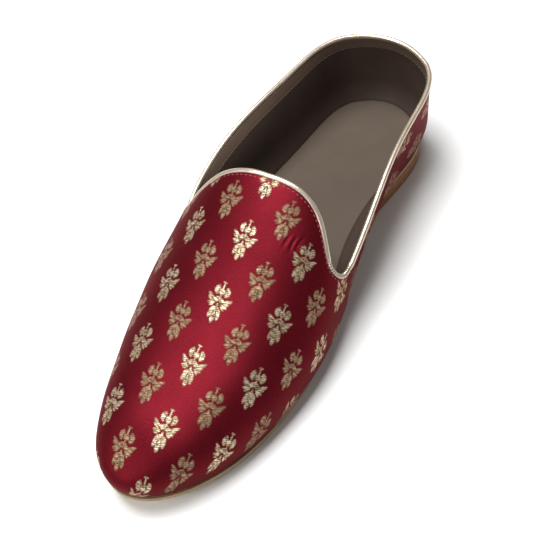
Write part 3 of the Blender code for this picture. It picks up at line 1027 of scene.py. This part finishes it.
def brocade(weave):
    """Satin ground, and sprigs floated on it in metallic thread, whose edges step from thread to thread."""
    made, shader = new_material("crimson brocade")
    cloth = mapped(coordinates(shader, "UV"), move=(-SPRIG_ORIGIN[0], -SPRIG_ORIGIN[1], 0))
    right, along, other = sprig_point(cloth, weave)
    stepped = joined(*(place.math("SNAP", PICK) + PICK / 2 for place in (right, along)))
    depth = deepest(stepped, SPRIG_ROWS)
    outline = deepest(joined(right, along), OUTLINE_ROWS).above(0.06, 0.16)
    gold = depth.above(0.04, 0.08)
    ground, ground_height = satin(cloth, weave)
    thread, thread_height, foil = sprig_thread(cloth, right, along, other, depth, outline, weave)
    finish_shader(
        shader,
        ground_height * gold.flipped() + thread_height * gold,
        Base_Color=gold.blend(ground, thread),
        Metallic=gold.math("MULTIPLY_ADD", -SATIN_SHEEN, SATIN_SHEEN) + gold * foil,
        Roughness=gold.math("MULTIPLY_ADD", -0.11, 0.44),
        Specular_IOR_Level=0.2,
        Specular_Tint=(0.50, 0.16, 0.18),
    )
    return made


def grained_leather(name, colour, shade, roughness, grain, depth, softness=0.6, metallic=0.0, band=None):
    """Leather: a pebbled grain of small cells, finer pores, and patches of shade with soft edges.

    The grain's size and depth are in millimetres. Where the second UV is below the edge of a band,
    (colour, edge, softness), its colour takes over.
    """
    made, shader = new_material(name)
    place = in_millimetres(shader)
    pebble = cells(place, 1 / grain, "DISTANCE_TO_EDGE").above(0.12, 0.24)
    fine = noise(place, 1.6 / grain, 4.0, 0.6)
    patch = noise(place, 0.06, 4.0, 0.6)
    tone = (patch * 0.6 + fine * 0.4).above(0.5, softness).blend(shade, colour)
    if band is not None:
        band_colour, *edge = band
        tone = parts(coordinates(shader, "UV"))[1].above(*edge).blend(band_colour, tone)
    finish_shader(
        shader,
        (pebble * 0.6 + fine * 0.4) * depth,
        Base_Color=tone,
        Roughness=fine.math("MULTIPLY_ADD", 0.16, roughness - 0.08),
        Metallic=metallic,
    )
    return made


def lining_leather(trim):
    """Dark, dull leather, paler in a band along the topline."""
    return grained_leather(
        "lining leather", trim.lining, trim.lining_shade,
        roughness=0.62, grain=0.9, depth=0.05, band=(trim.lining_band, *LINING_BAND),
    )


def piping_leather(trim):
    """Foiled leather: mostly metallic and nearly smooth, with a fine grain and painted shade in pleats."""
    return grained_leather(
        "piping leather", trim.piping, trim.piping_shade,
        roughness=0.30, grain=0.55, depth=0.02, softness=0.34, metallic=0.80,
        # painted shade where the piping dips between its pleats
        band=(trim.piping_pleat_shade, *PLEAT_BAND),
    )


def insole_leather(sole):
    """Thin napped leather, the dullest of them."""
    return grained_leather(
        "insole leather", sole.insole, sole.insole_shade, roughness=0.74, grain=0.45, depth=0.05
    )


def sole_leather(name, colour, shade, stain=None):
    """Smooth undyed leather: slow mottling, fine scratches along the shoe, pale folds, and a stain."""
    made, shader = new_material(name)
    place = in_millimetres(shader)
    mottle = noise(place, 0.022, 4.0, 0.62, 0.4)
    cloud = noise(mapped(place, move=(40, 7, 3)), 0.06, 5.0, 0.6)
    tone = (mottle * 0.65 + cloud * 0.35).above(0.5, 0.26)
    fibre = noise(mapped(place, (1.0, 0.16, 1.0), turn=0.5), 0.75, 4.0, 0.7)
    scratch = noise(mapped(place, (0.55, 0.035, 1.0), turn=0.42), 0.9, 2.0, 0.4).above(0.68, 0.05)
    fold_noise = noise(mapped(place, (0.10, 0.045, 1.0), turn=-0.35), 1.0, 3.0, 0.5, 1.2)
    folds = (fold_noise - 0.5).math("ABSOLUTE").above(0.010, 0.012).flipped()
    pore = cells(place, 0.9).above(0.12, 0.1).flipped()
    leather = tone.blend(shade, colour)
    leather = (scratch * 0.22).blend(leather, SCRATCH_COLOUR)
    leather = (folds * 0.16).blend(leather, FOLD_COLOUR)
    leather = (fibre.above(0.62, 0.2) * 0.18).blend(leather, shade)
    if stain is not None:
        spot = leaf(place, stain)
        ring = spot.above(0.0, 0.5) * 0.22 + spot.math("ABSOLUTE").above(0.35, 0.4).flipped() * 0.35
        leather = ring.blend(leather, STAIN_COLOUR)
    finish_shader(
        shader,
        fibre * 0.03 + folds * -0.03 + pore * -0.02 + scratch * -0.03,
        Base_Color=leather,
        Roughness=fibre.math("MULTIPLY_ADD", 0.2, 0.46),
        Specular_IOR_Level=0.35,
    )
    return made


def heel_leather(name, colour, shade):
    """Pressed heel leather: nearly even tan with fine grain, and scattered dark and pale specks."""
    made, shader = new_material(name)
    place = in_millimetres(shader)
    fine = noise(place, 1.5, 5.0, 0.65)
    patch = noise(place, 0.05, 3.0, 0.5)
    tone = (fine * 0.55 + patch * 0.45).above(0.5, 0.4)
    dark = cells(place, 0.16).above(0.075, 0.03).flipped()
    pale = cells(mapped(place, move=(13, 5, 9)), 0.11).above(0.055, 0.02).flipped()
    leather = (dark * 0.55).blend(tone.blend(shade, colour), DARK_SPECKS)
    leather = (pale * 0.75).blend(leather, PALE_SPECKS)
    finish_shader(
        shader,
        fine * 0.03 + dark * -0.04,
        Base_Color=leather,
        Roughness=fine.math("MULTIPLY_ADD", 0.16, 0.44),
        Specular_IOR_Level=0.35,
    )
    return made


def thread_finish(name, colour, shade):
    """Sewing thread: two plies that wind round the stitch."""
    made, shader = new_material(name)
    place = in_millimetres(shader)
    x, y, z = parts(place)
    ply = (x + y + z * 0.7).ridges(0.55)
    fuzz = noise(place, 3.0, 2.0)
    finish_shader(
        shader,
        ply * 0.05,
        # painted shade between the plies, with random fuzz tone
        Base_Color=(ply * 0.6 + fuzz * 0.4).blend(shade, colour),
        Roughness=0.6,
        Sheen_Weight=0.3,
    )
    return made


def tint(name, description, default):
    """A colour property."""
    return FloatVectorProperty(
        name=name, description=description, default=default, subtype="COLOR", size=3, min=0, max=1
    )


def size(name, description, default):
    """A length property, whose default is given in millimetres."""
    return FloatProperty(
        name=name, description=description, default=default * MM,
        subtype="DISTANCE", unit="LENGTH", min=0, precision=5,
    )


class KhussaUpper(bpy.types.PropertyGroup):
    """Sizes of the cloth and the lining."""

    cloth: size("Cloth", "Thickness of the brocade and its backing", 1.0)
    waviness: size("Waviness", "Height of the slow waves over the upper", 0.09)
    gather: size("Gathers", "Height of the gathers above the feather edge", 0.10)


class KhussaBrocade(bpy.types.PropertyGroup):
    """The weave: its repeat, its rib and its colours."""

    repeat: size("Repeat", "From one sprig to the next along a column", 32.0)
    column_gap: size("Column gap", "From one column of sprigs to the next", 15.8)
    rib: size("Rib", "From one diagonal rib of the ground to the next", 1.05)
    ground: tint("Ground", "Crimson of the satin ground", (0.142, 0.0073, 0.0142))
    # painted shade of the rib valleys, also the darker grain tone
    ground_shade: tint("Ground, in the ribs", "Darker crimson between the ribs", (0.052, 0.0026, 0.0050))
    ground_worn: tint("Ground, faded", "Slightly paler patches", (0.185, 0.0115, 0.0190))
    thread: tint("Thread", "Metallic thread of the sprigs", (0.72, 0.53, 0.31))
    # painted highlight on the sprigs' floats
    thread_light: tint("Thread, glints", "Where the foil turns to the light", (1.0, 0.94, 0.78))
    # painted shade between the floats
    thread_shade: tint("Thread, in shade", "Between the floats", (0.11, 0.064, 0.033))
    # painted shade: a duller, redder copy of the thread for every other column, and its tone between floats
    shaded_column_thread: tint("Dull thread", "Redder thread of every other column", (0.48, 0.315, 0.195))
    shaded_column_between_floats: tint("Dull thread, in shade", "The same, between its floats", (0.085, 0.045, 0.025))
    # painted shade at the sprigs' edges and in their outlines
    sprig_painted_shade: tint("Thread outlines", "The fine outlines inside a sprig", (0.085, 0.035, 0.020))


class KhussaTrim(bpy.types.PropertyGroup):
    """Piping, lining and sewing."""

    stitch_pitch: size("Stitch pitch", "From one topline stitch to the next", 2.6)
    stitch_length: size("Stitch length", "Visible length of a stitch", 1.7)
    stitch_width: size("Stitch width", "Width of the sewing thread", 0.50)
    piping: tint("Piping", "Champagne metallic leather", (0.88, 0.76, 0.62))
    piping_shade: tint("Piping, in shade", "The same, in its creases", (0.62, 0.49, 0.37))
    # painted shade in the piping's pleats
    piping_pleat_shade: tint("Piping, in its pleats", "Between the pleats at the notches", (0.22, 0.165, 0.12))
    thread: tint("Topline thread", "Thread beside the piping", (0.46, 0.045, 0.085))
    # painted shade between the topline thread's plies
    thread_shade: tint("Topline thread, in shade", "Between its plies", (0.22, 0.012, 0.03))
    lining: tint("Lining", "Dark brown lining leather", (0.074, 0.045, 0.033))
    lining_shade: tint("Lining, in shade", "The same, in its grain", (0.036, 0.023, 0.017))
    # paler within a band below the topline
    lining_band: tint("Lining band", "Its folded edge below the topline", (0.120, 0.078, 0.052))
    lining_thread: tint("Lining thread", "Thread of the lining's stitching", (0.10, 0.065, 0.045))


class KhussaSole(bpy.types.PropertyGroup):
    """Leathers underfoot."""

    sole: tint("Sole", "Ivory underside of the outsole", (0.86, 0.74, 0.52))
    sole_shade: tint("Sole, mottled", "Darker patches of the underside", (0.62, 0.49, 0.32))
    edge: tint("Edge", "Tan of the outsole's edge", (0.40, 0.27, 0.155))
    edge_shade: tint("Edge, in shade", "The same, in its fibres", (0.27, 0.17, 0.09))
    heel: tint("Heel", "Tan of the heel lift", (0.50, 0.215, 0.085))
    heel_shade: tint("Heel, in shade", "The same, in its grain", (0.42, 0.172, 0.065))
    heel_edge: tint("Heel edge", "Cut edge of the heel lift", (0.32, 0.135, 0.050))
    heel_edge_shade: tint("Heel edge, in shade", "The same, in its fibres", (0.25, 0.100, 0.035))
    # partly painted shade: the grey-taupe leather is set darker to stand for a shadow cast on it
    insole: tint("Insole", "Grey-taupe insole leather", (0.097, 0.070, 0.049))
    insole_shade: tint("Insole, in shade", "The same, in its nap", (0.070, 0.050, 0.035))


class KhussaStage(bpy.types.PropertyGroup):
    """Floor, light and camera."""

    floor: tint("Floor", "Plain pale floor", (0.90, 0.90, 0.895))
    key: FloatProperty(
        name="Key light", description="Power of the overhead softbox", default=19.0, unit="POWER", min=0
    )
    front: FloatProperty(
        name="Front light", description="Power of the softbox at the toe", default=3.5, unit="POWER", min=0
    )
    sky: FloatProperty(
        name="Room light", description="Strength of the even light all round", default=0.21, min=0
    )
    roll: FloatProperty(
        name="Roll", description="Turn of the camera round its own axis", default=-0.1576, subtype="ANGLE"
    )


def settings(name):
    """The scene's own property group of this name."""
    return getattr(bpy.context.scene, "khussa_" + name)


def cloth_face():
    """The cloth's outer face: its stations, points and UVs. The weave is laid before the collar splays."""
    station = stations(COLUMNS)
    base = upper_surface(station, SIDE_ROWS, TOP_ROWS)
    unsplayed, at = closed(upper_surface(station, SIDE_ROWS, TOP_ROWS, splayed=0.0), station)
    across, along = cloth_place(unsplayed, at, SIDE_ROWS)
    relief = cloth_relief(base, across[:, :-1], along[:, :-1], station, settings("upper"))
    face = base + surface_normals(base) * relief[..., None]
    return station, face, drawn_cloth(across, along)


def wall_face(station, side_rows, top_rows, depth):
    """The last's surface moved into the wall by this many millimetres."""
    face = upper_surface(station, side_rows, top_rows)
    return face - surface_normals(face) * depth


def lining_face(station):
    """The inside of the wall, which the leather leaves and meets again in soft waves."""
    face = wall_face(station, LINING_SIDE_ROWS, LINING_TOP_ROWS, WALL)
    x, y, z = np.moveaxis(face, -1, 0)
    slack = np.sin(x / 6.5 + np.sin(y / 9.0) + z / 8.0) * np.sin(y / 8.2 + 0.5)
    return face - surface_normals(face) * (LINING_SLACK * slack)[..., None]


class KHUSSA_OT_upper(bpy.types.Operator):
    """Make the brocade upper: the last's surface with waves and creases, turned over both edges"""

    bl_idname = "khussa.upper"
    bl_label = "Brocade upper"

    def execute(self, context):
        station, face, uv = cloth_face()
        depth = settings("upper").cloth / MM
        hidden = wall_face(station, HIDDEN_SIDE_ROWS, HIDDEN_TOP_ROWS, depth)
        uv = shell_uv(uv, uv[np.linspace(0, len(face) - 1, len(hidden)).round().astype(int)])
        finish = brocade(settings("brocade"))
        piece = grid_mesh("brocade_upper", shell(face, hidden), [finish], wrap_rows=True, uv=uv)
        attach(piece, "root")
        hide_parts("upper")
        return {"FINISHED"}


class KHUSSA_OT_lining(bpy.types.Operator):
    """Make the leather lining: the inner half of the wall, from the feather edge to the topline"""

    bl_idname = "khussa.lining"
    bl_label = "Quarter lining"

    def execute(self, context):
        station = stations(COLUMNS)
        depth = settings("upper").cloth / MM + LINING_CLEARANCE
        hidden = wall_face(station, HIDDEN_SIDE_ROWS, HIDDEN_TOP_ROWS, depth)
        face = lining_face(station)
        uv = shell_uv(rim_uv(hidden, station), rim_uv(face, station))
        finish = lining_leather(settings("trim"))
        piece = grid_mesh("quarter_lining", shell(hidden, face), [finish], wrap_rows=True, uv=uv)
        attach(piece, "root")
        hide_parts("upper")
        return {"FINISHED"}


class KHUSSA_OT_piping(bpy.types.Operator):
    """Make the piping: a cord along the topline, pleated where it turns tightly at the notches"""

    bl_idname = "khussa.piping"
    bl_label = "Topline piping"

    def execute(self, context):
        rows = upper_surface(stations(PIPING_COLUMNS), RIM_SIDE_ROWS, RIM_TOP_ROWS)
        points, uv = piping_surface(*piping_path(rows))
        finish = piping_leather(settings("trim"))
        piece = grid_mesh("topline_binding", points, [finish], wrap_rows=True, uv=uv)
        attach(piece, "root")
        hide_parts("topline_piping")
        return {"FINISHED"}


class KHUSSA_OT_stitching(bpy.types.Operator):
    """Sew both rows of stitches: beside the piping outside, and below the topline inside"""

    bl_idname = "khussa.stitching"
    bl_label = "Stitching"

    def execute(self, context):
        trim = settings("trim")
        pitch, long, thick = trim.stitch_pitch / MM, trim.stitch_length / MM, trim.stitch_width / MM
        station, face, _ = cloth_face()
        ring = at_depth(face, face, STITCH_DEPTH)
        normal = at_depth(face, surface_normals(face), STITCH_DEPTH)
        finish = thread_finish("topline thread", trim.thread, trim.thread_shade)
        outer = stitches("topline_stitching", ring, normal, pitch, long, thick, finish)
        face = wall_face(station, LINING_SIDE_ROWS, LINING_TOP_ROWS, WALL)
        ring = at_depth(face, face, LINING_STITCH_DEPTH)
        normal = -at_depth(face, surface_normals(face), LINING_STITCH_DEPTH)
        finish = thread_finish("lining thread", trim.lining_thread, trim.lining_shade)
        pitch, long = LINING_STITCH_PITCH, LINING_STITCH_LENGTH
        inner = stitches("lining_stitching", ring[::-1], normal[::-1], pitch, long, thick, finish)
        for piece, slot in ((outer, "brocade"), (inner, "insole_lining")):
            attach(piece, "root")
        return {"FINISHED"}


class KHUSSA_OT_outsole(bpy.types.Operator):
    """Make the outsole: a leather slab over the arch, with a rounded tan edge and an ivory underside"""

    bl_idname = "khussa.outsole"
    bl_label = "Outsole"

    def execute(self, context):
        rows = slab_rows(sole_outline(even_stations()), SOLE_SPINE, underside, sole_top, SOLE_ROUNDING)
        sole = settings("sole")
        finishes = [
            sole_leather("outsole underside", sole.sole, sole.sole_shade, WAIST_STAIN),
            sole_leather("outsole edge", sole.edge, sole.edge_shade),
        ]
        piece = grid_mesh("outsole_leather", rows, finishes, finish_of_row=edge_after(rows, steps=3))
        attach(piece, "root")
        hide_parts("outsole")
        return {"FINISHED"}


class KHUSSA_OT_heel(bpy.types.Operator):
    """Make the heel lift: the sole's outline behind a straight breast, flat underneath"""

    bl_idname = "khussa.heel"
    bl_label = "Heel lift"

    def execute(self, context):
        rows = slab_rows(heel_ring(), HEEL_SPINE, np.zeros_like, heel_top, HEEL_ROUNDING)
        sole = settings("sole")
        finishes = [
            heel_leather("heel underside", sole.heel, sole.heel_shade),
            heel_leather("heel edge", sole.heel_edge, sole.heel_edge_shade),
        ]
        piece = grid_mesh("heel_lift", rows, finishes, finish_of_row=edge_after(rows, steps=2))
        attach(piece, "root")
        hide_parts("heel_block")
        return {"FINISHED"}


class KHUSSA_OT_insole(bpy.types.Operator):
    """Make the insole: a thin sock that fills the shoe's floor as far as the lining"""

    bl_idname = "khussa.insole"
    bl_label = "Insole"

    def execute(self, context):
        foot = wall_face(even_stations(), LINING_SIDE_ROWS, LINING_TOP_ROWS, WALL)[0, :, :2]
        ring = inset(foot, -LINING_SLACK)  # it reaches the lining wherever the lining stands
        rows = slab_rows(ring, SOLE_SPINE, seat, insole_top, INSOLE_ROUNDING)
        piece = grid_mesh("insole_sock", rows, [insole_leather(settings("sole"))])
        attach(piece, "root")
        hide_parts("insole")
        return {"FINISHED"}


class KHUSSA_OT_stage(bpy.types.Operator):
    """Set up the studio: a pale floor, two softboxes, even room light and the camera"""

    bl_idname = "khussa.stage"
    bl_label = "Studio"

    def execute(self, context):
        stage = settings("stage")
        scene = context.scene
        add_floor(stage.floor)
        add_softbox("key softbox", KEY_PLACE, KEY_SIDE, stage.key)
        add_softbox("front softbox", FRONT_PLACE, FRONT_SIDE, stage.front)
        world = scene.world or bpy.data.worlds.new("room")
        scene.world = world
        world.use_nodes = True
        background = world.node_tree.nodes["Background"]
        background.inputs["Color"].default_value = ROOM_COLOUR
        background.inputs["Strength"].default_value = stage.sky
        scene.camera = add_camera(stage.roll)
        scene.view_settings.view_transform = "Standard"
        return {"FINISHED"}


def add_floor(colour):
    """A wide plain floor under the shoe."""
    made, shader = new_material("plain floor")
    finish_shader(shader, Base_Color=colour, Roughness=0.9, Specular_IOR_Level=0.1)
    mesh = bpy.data.meshes.new("floor")
    corners = [(FLOOR_HALF * x, FLOOR_HALF * y, 0) for x, y in ((-1, -1), (1, -1), (1, 1), (-1, 1))]
    mesh.from_pydata(corners, [], [(0, 1, 2, 3)])
    mesh.materials.append(made)
    floor = bpy.data.objects.new("floor", mesh)
    bpy.context.scene.collection.objects.link(floor)


def add_softbox(name, place, side, power):
    """A square area light that faces the shoe."""
    light = bpy.data.lights.new(name, "AREA")
    light.shape = "SQUARE"
    light.size = side
    light.energy = power
    lamp = bpy.data.objects.new(name, light)
    lamp.location = place
    lamp.rotation_euler = (Vector(LIGHT_AIM) - Vector(place)).to_track_quat("-Z", "Y").to_euler()
    bpy.context.scene.collection.objects.link(lamp)


def add_camera(roll):
    """A camera aimed at the shoe, then rolled round its own axis."""
    data = bpy.data.cameras.new("camera")
    data.lens = CAMERA_LENS
    camera = bpy.data.objects.new("camera", data)
    place, aim = Vector(CAMERA_PLACE), Vector(CAMERA_AIM)
    turn = (aim - place).to_track_quat("-Z", "Y").to_matrix() @ Matrix.Rotation(roll, 3, "Z")
    camera.matrix_world = Matrix.Translation(place) @ turn.to_4x4()
    bpy.context.scene.collection.objects.link(camera)
    return camera


class KHUSSA_PT_panel(bpy.types.Panel):
    """Buttons for each piece of the khussa and its sizes and colours"""

    bl_idname = "KHUSSA_PT_panel"
    bl_label = "Khussa"
    bl_space_type = "VIEW_3D"
    bl_region_type = "UI"
    bl_category = "Khussa"

    def draw(self, context):
        for operator in OPERATORS:
            self.layout.operator(operator.bl_idname)
        for name, group in GROUPS.items():
            box = self.layout.box()
            box.label(text=name.capitalize())
            for key in group.__annotations__:
                box.prop(settings(name), key)


GROUPS = {
    "upper": KhussaUpper,
    "brocade": KhussaBrocade,
    "trim": KhussaTrim,
    "sole": KhussaSole,
    "stage": KhussaStage,
}
OPERATORS = (
    KHUSSA_OT_upper,
    KHUSSA_OT_lining,
    KHUSSA_OT_piping,
    KHUSSA_OT_stitching,
    KHUSSA_OT_outsole,
    KHUSSA_OT_heel,
    KHUSSA_OT_insole,
    KHUSSA_OT_stage,
)


def register():
    for item in (*GROUPS.values(), *OPERATORS, KHUSSA_PT_panel):
        bpy.utils.register_class(item)
    for name, group in GROUPS.items():
        setattr(bpy.types.Scene, "khussa_" + name, PointerProperty(type=group))


def unregister():
    for name in GROUPS:
        delattr(bpy.types.Scene, "khussa_" + name)
    for item in reversed((*GROUPS.values(), *OPERATORS, KHUSSA_PT_panel)):
        bpy.utils.unregister_class(item)


def main():
    register()
    bpy.ops.khussa.upper()
    bpy.ops.khussa.lining()
    bpy.ops.khussa.piping()
    bpy.ops.khussa.stitching()
    bpy.ops.khussa.outsole()
    bpy.ops.khussa.heel()
    bpy.ops.khussa.insole()
    bpy.ops.khussa.stage()


if __name__ == "__main__":
    main()
